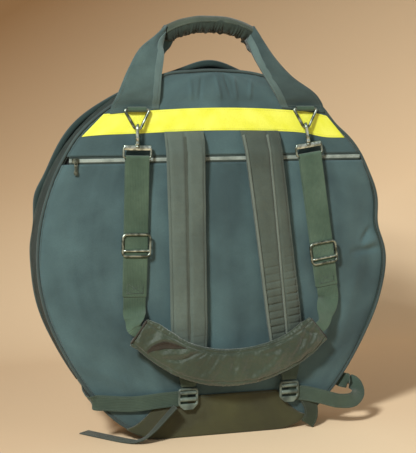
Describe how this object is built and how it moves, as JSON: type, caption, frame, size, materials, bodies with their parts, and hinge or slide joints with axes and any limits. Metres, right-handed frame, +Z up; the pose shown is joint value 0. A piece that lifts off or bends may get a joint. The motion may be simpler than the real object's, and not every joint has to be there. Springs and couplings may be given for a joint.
{
  "type": "cymbal bag",
  "caption": "Round padded cymbal bag with carry handle, fold-down zipped front, back pocket, padded backpack straps and a detachable shoulder strap with snap hooks.",
  "frame": {"origin": "on the floor, under the middle of the base patch", "axes": "+Z up, +X to the right seen from the wearer's side, +Y from the wearer's side to the zipped front"},
  "size_m": [0.5989, 0.1257, 0.68],
  "materials": {
    "nylon": "matte woven nylon",
    "lining": "smooth matte lining",
    "foam": "padding behind the nylon",
    "band": "matte bright yellow",
    "zip": "coil zip on woven tape",
    "piping": "wrapped cord",
    "patch": "coated fabric",
    "webbing": "ribbed webbing",
    "strap": "padded woven fabric",
    "satin": "satin padded fabric",
    "steel": "plated",
    "buckle": "moulded plastic"
  },
  "bodies": {
    "bag": {"back_foam": "foam", "back_lining": "lining", "pocket_sheet": "nylon", "upper_back_sheet": "nylon", "pocket_zip_tape": "zip", "hi_vis_band": "band", "back_piping": "piping", "gusset": "nylon", "gusset_sill": "nylon", "base_patch": "patch", "front_sill_sheet": "nylon", "front_sill_foam": "foam", "bag_zip_tape": "zip", "handle_back_leg_left": "nylon", "handle_back_leg_right": "nylon", "handle_front_leg_left": "nylon", "handle_front_leg_right": "nylon", "handle_grip": "nylon", "ring_tab_left": "webbing", "ring_tab_right": "webbing", "backpack_strap_left": "strap", "backpack_strap_right": "strap", "strap_tab_left": "webbing", "strap_tab_right": "webbing", "lower_webbing_left": "webbing", "lower_webbing_right": "webbing", "strap_tail_left": "webbing", "strap_tail_right": "webbing"},
    "lid": {"lid_cover": "nylon", "lid_foam": "foam", "lid_lining": "lining", "lid_gusset": "nylon", "lid_zip_tape": "zip", "lid_piping": "piping"},
    "shoulder_strap": {"hook_frame_left": "steel", "hook_frame_right": "steel", "shoulder_webbing_left": "webbing", "shoulder_webbing_right": "webbing", "pad_webbing_left": "webbing", "pad_webbing_right": "webbing", "shoulder_pad": "satin"},
    "zip_slider_upper": {"zip_slider_upper": "steel"},
    "zip_slider_lower": {"zip_slider_lower": "steel"},
    "zip_pull_upper": {"zip_pull_upper": "steel"},
    "zip_pull_lower": {"zip_pull_lower": "steel"},
    "pocket_slider": {"pocket_slider": "steel"},
    "pocket_pull": {"pocket_pull": "steel"},
    "ring_left": {"ring_left": "steel"},
    "ring_right": {"ring_right": "steel"},
    "hook_left": {"hook_left": "steel"},
    "hook_right": {"hook_right": "steel"},
    "hook_gate_left": {"hook_gate_left": "steel"},
    "hook_gate_right": {"hook_gate_right": "steel"},
    "tri_glide_left": {"tri_glide_left": "steel"},
    "tri_glide_right": {"tri_glide_right": "steel"},
    "ladder_lock_left": {"ladder_lock_left": "buckle"},
    "ladder_lock_right": {"ladder_lock_right": "buckle"}
  },
  "joints": [
    {"name": "lid_fold", "type": "hinge", "parent": "bag", "child": "lid", "pos_m": [0, 0.04, 0.085], "axis": [-1, 0, 0], "range_deg": [0, 95]},
    {"name": "zip_upper_travel", "type": "hinge", "parent": "bag", "child": "zip_slider_upper", "pos_m": [0, 0.0226, 0.2995], "axis": [0, 1, 0], "range_deg": [-183, 0]},
    {"name": "zip_lower_travel", "type": "hinge", "parent": "bag", "child": "zip_slider_lower", "pos_m": [0, 0.0226, 0.2995], "axis": [0, 1, 0], "range_deg": [0, 21.5]},
    {"name": "zip_pull_upper_swing", "type": "hinge", "parent": "zip_slider_upper", "child": "zip_pull_upper", "pos_m": [0.2927, 0.0226, 0.36708], "axis": [0, -1, 0], "range_deg": [0, 165]},
    {"name": "zip_pull_lower_swing", "type": "hinge", "parent": "zip_slider_lower", "child": "zip_pull_lower", "pos_m": [0.29902, 0.0226, 0.32829], "axis": [0, -1, 0], "range_deg": [0, 165]},
    {"name": "pocket_slide", "type": "slide", "parent": "bag", "child": "pocket_slider", "axis": [1, 0, 0], "range_m": [0, 0.468]},
    {"name": "pocket_pull_swing", "type": "hinge", "parent": "pocket_slider", "child": "pocket_pull", "pos_m": [-0.234, -0.0437, 0.453], "axis": [-1, 0, 0], "range_deg": [0, 165]},
    {"name": "ring_left_swing", "type": "hinge", "parent": "bag", "child": "ring_left", "pos_m": [-0.137, -0.0458, 0.532], "axis": [-1, 0, 0], "range_deg": [0, 90]},
    {"name": "ring_right_swing", "type": "hinge", "parent": "bag", "child": "ring_right", "pos_m": [0.144, -0.0458, 0.532], "axis": [-1, 0, 0], "range_deg": [0, 90]},
    {"name": "shoulder_strap_swing", "type": "hinge", "parent": "ring_left", "child": "shoulder_strap", "pos_m": [-0.137, -0.05055, 0.50186], "axis": [-1, 0, 0], "range_deg": [0, 50]},
    {"name": "hook_left_swivel", "type": "hinge", "parent": "shoulder_strap", "child": "hook_left", "pos_m": [-0.137, -0.05055, 0.50186], "axis": [-0.0262, 0, -0.9997], "range_deg": [-4, 4]},
    {"name": "hook_right_swivel", "type": "hinge", "parent": "shoulder_strap", "child": "hook_right", "pos_m": [0.144, -0.05055, 0.50186], "axis": [0.1478, 0, -0.989], "range_deg": [-4, 4]},
    {"name": "hook_gate_left_press", "type": "hinge", "parent": "hook_left", "child": "hook_gate_left", "pos_m": [-0.13537, -0.04466, 0.49111], "axis": [0.9507, -0.309, -0.0249], "range_deg": [0, 20], "stiffness_Nm_per_rad": 0.02},
    {"name": "hook_gate_right_press", "type": "hinge", "parent": "hook_right", "child": "hook_gate_right", "pos_m": [0.14747, -0.04466, 0.49156], "axis": [0.9406, -0.309, 0.1406], "range_deg": [0, 20], "stiffness_Nm_per_rad": 0.02},
    {"name": "tri_glide_left_slide", "type": "slide", "parent": "shoulder_strap", "child": "tri_glide_left", "axis": [-0.0262, 0, -0.9997], "range_m": [-0.09, 0.05]},
    {"name": "tri_glide_right_slide", "type": "slide", "parent": "shoulder_strap", "child": "tri_glide_right", "axis": [0.1478, 0, -0.989], "range_m": [-0.11, 0.03]},
    {"name": "ladder_lock_left_lift", "type": "hinge", "parent": "bag", "child": "ladder_lock_left", "pos_m": [-0.056, -0.05, 0.083], "axis": [-1, 0, 0], "range_deg": [0, 50]},
    {"name": "ladder_lock_right_lift", "type": "hinge", "parent": "bag", "child": "ladder_lock_right", "pos_m": [0.118, -0.05, 0.083], "axis": [-1, 0, 0], "range_deg": [0, 50]}
  ],
  "couplings": [
    {"joint": "ring_right_swing", "follows": "ring_left_swing", "ratio": 1}
  ]
}
